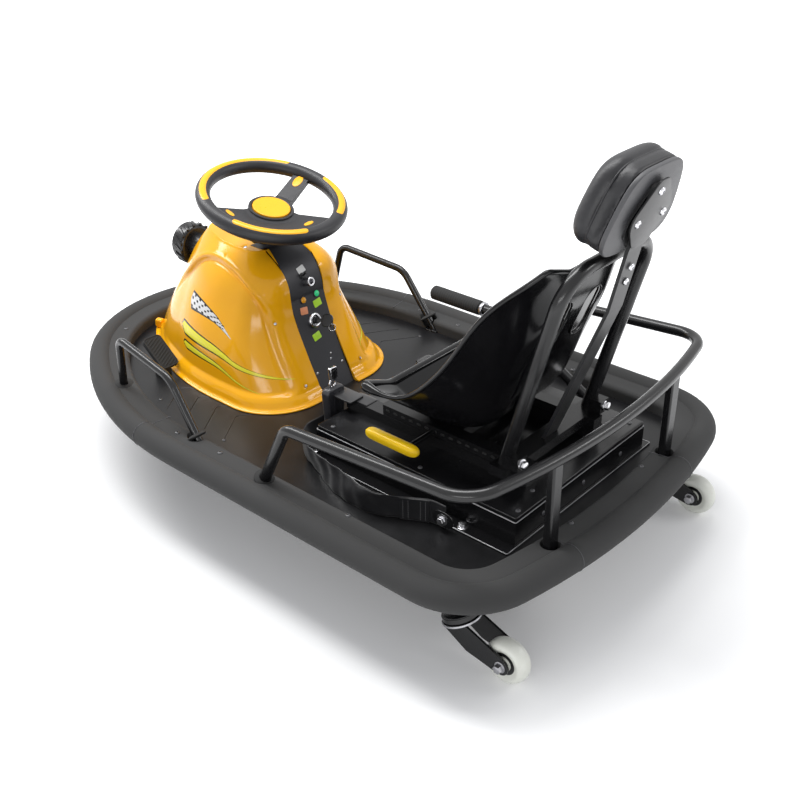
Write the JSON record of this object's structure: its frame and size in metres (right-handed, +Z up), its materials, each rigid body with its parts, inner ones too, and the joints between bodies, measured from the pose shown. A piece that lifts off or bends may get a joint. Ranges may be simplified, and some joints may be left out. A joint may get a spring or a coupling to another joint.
{
  "type": "electric drift kart",
  "caption": "Low drift kart with a rubber bumper ring, a steered hub-motor wheel under a glossy cowl, a sliding bucket seat with headrest and leaning rear casters worked by a side lever.",
  "frame": {"origin": "centre of the bounding box in plan, on the floor", "axes": "+Z up, the nose points to -Y and the tail to +Y, +X is the driver's left"},
  "size_m": [0.822, 1.3436, 0.7975],
  "materials": {
    "frame_black": "satin black powder coat",
    "deck_black": "satin black sheet",
    "box_black": "semi-gloss black sheet",
    "bumper_rubber": "soft matt rubber",
    "cowl_orange": "high gloss orange",
    "panel_black": "gloss black plate",
    "bright_metal": "polished",
    "socket_brass": "plated",
    "lamp_clear": "clear green lens",
    "light_black": "black housing",
    "light_lens": "clear lens",
    "pedal_rubber": "ribbed rubber",
    "seat_black": "gloss moulded seat",
    "pad_black": "grained vinyl",
    "head_board": "satin board",
    "grip_yellow": "yellow moulding",
    "grip_rubber": "ribbed rubber grip",
    "wheel_black": "soft black rim",
    "cap_yellow": "yellow cap",
    "tyre_black": "treaded tyre",
    "motor_metal": "cast hub",
    "caster_black": "pressed black steel",
    "caster_nylon": "white nylon",
    "belt_black": "woven webbing",
    "buckle_black": "moulded buckle",
    "battery_grey": "case"
  },
  "bodies": {
    "chassis": {"deck_pan": "deck_black", "chassis_frame": "frame_black", "bumper_ring": "bumper_rubber", "foot_hoops": "frame_black", "rear_rail": "frame_black", "rear_posts": "frame_black", "cowl_left": "cowl_orange", "cowl_right": "cowl_orange", "control_panel": "panel_black", "key_switch": "bright_metal", "charge_socket": "socket_brass", "indicator_lamps": "lamp_clear", "headlight_housing": "light_black", "headlight_lens": "light_lens", "pedals": "pedal_rubber", "seat_box": "box_black", "seat_box_lid": "box_black", "battery": "battery_grey", "slide_rails": "frame_black", "steering_head": "frame_black", "bar_bearings": "frame_black", "belt_buckle": "buckle_black", "belt_strap_left": "belt_black", "belt_strap_right": "belt_black"},
    "steering": {"steering_wheel": "wheel_black", "steering_cap": "cap_yellow", "steering_column": "frame_black", "drive_fork": "frame_black"},
    "drive_wheel": {"drive_tyre": "tyre_black", "drive_motor": "motor_metal"},
    "seat": {"seat_carriage": "frame_black", "seat_shell": "seat_black", "seat_hoop": "frame_black", "slide_handle": "grip_yellow", "headrest_bar": "frame_black", "headrest_back": "head_board", "headrest_pad": "pad_black"},
    "drift_bar": {"caster_bar": "frame_black", "lever_grip": "grip_rubber"},
    "swivel_left": {"caster_fork_left": "caster_black"},
    "swivel_right": {"caster_fork_right": "caster_black"},
    "wheel_left": {"caster_wheel_left": "caster_nylon"},
    "wheel_right": {"caster_wheel_right": "caster_nylon"}
  },
  "joints": [
    {"name": "steering", "type": "hinge", "parent": "chassis", "child": "steering", "pos_m": [0, -0.21, 0.532], "axis": [0, 0.2521, 0.9677], "continuous": true},
    {"name": "drive_spin", "type": "hinge", "parent": "steering", "child": "drive_wheel", "pos_m": [0, -0.32253, 0.1], "axis": [1, 0, 0], "continuous": true},
    {"name": "drift_lever", "type": "hinge", "parent": "chassis", "child": "drift_bar", "pos_m": [0, 0.50301, 0.11946], "axis": [1, 0, 0], "range_deg": [-22, 0]},
    {"name": "swivel_left", "type": "hinge", "parent": "drift_bar", "child": "swivel_left", "pos_m": [0.304, 0.52024, 0.07681], "axis": [0, -0.3746, 0.9272], "continuous": true},
    {"name": "swivel_right", "type": "hinge", "parent": "drift_bar", "child": "swivel_right", "pos_m": [-0.304, 0.52024, 0.07681], "axis": [0, -0.3746, 0.9272], "continuous": true},
    {"name": "caster_spin_left", "type": "hinge", "parent": "swivel_left", "child": "wheel_left", "pos_m": [0.304, 0.616, 0.04], "axis": [1, 0, 0], "continuous": true},
    {"name": "caster_spin_right", "type": "hinge", "parent": "swivel_right", "child": "wheel_right", "pos_m": [-0.304, 0.616, 0.04], "axis": [1, 0, 0], "continuous": true},
    {"name": "seat_slide", "type": "slide", "parent": "chassis", "child": "seat", "axis": [0, 1, 0], "range_m": [-0.03, 0.03]}
  ]
}
